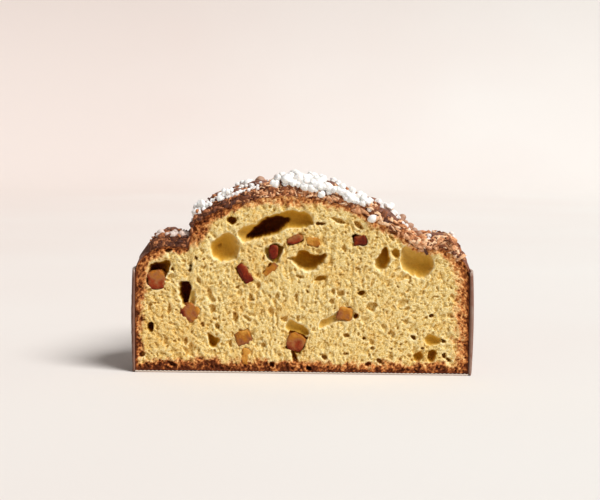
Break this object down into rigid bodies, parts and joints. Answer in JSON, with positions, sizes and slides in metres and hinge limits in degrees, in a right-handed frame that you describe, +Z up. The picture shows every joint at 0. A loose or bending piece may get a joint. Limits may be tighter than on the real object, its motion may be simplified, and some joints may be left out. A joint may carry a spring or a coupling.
{
  "type": "half colomba cake",
  "caption": "Half of a dove-shaped Easter cake in its paper case, cut across the wings to show airy crumb and candied peel under an almond and sugar glaze.",
  "frame": {"origin": "middle of the footprint, on the underside of the paper case", "axes": "+Z up, -Y the way the cut face looks, +Y towards the tail, +X towards the wing on the right of the cut face"},
  "size_m": [0.2052, 0.1545, 0.1175],
  "materials": {
    "crumb_and_crust": "matt open crumb with a brown crust",
    "almond_glaze": "rough baked almond glaze with white sugar",
    "almond_skin": "roasted almond skin",
    "candied_peel": "moist candied orange peel",
    "brown_paper": "matt fluted baking paper"
  },
  "bodies": {
    "root": {"cake": "crumb_and_crust", "almond_glaze": "almond_glaze", "paper_case": "brown_paper", "almond_01": "almond_skin", "almond_02": "almond_skin", "almond_03": "almond_skin", "almond_04": "almond_skin", "almond_05": "almond_skin", "almond_06": "almond_skin", "almond_07": "almond_skin", "almond_08": "almond_skin", "almond_09": "almond_skin", "almond_10": "almond_skin", "almond_11": "almond_skin", "almond_12": "almond_skin", "almond_13": "almond_skin", "almond_14": "almond_skin", "almond_15": "almond_skin", "almond_16": "almond_skin", "almond_17": "almond_skin", "candied_peel_01": "candied_peel", "candied_peel_02": "candied_peel", "candied_peel_03": "candied_peel", "candied_peel_04": "candied_peel", "candied_peel_05": "candied_peel", "candied_peel_06": "candied_peel", "candied_peel_07": "candied_peel", "candied_peel_08": "candied_peel", "candied_peel_09": "candied_peel", "candied_peel_10": "candied_peel", "candied_peel_11": "candied_peel", "candied_peel_12": "candied_peel"}
  },
  "joints": []
}
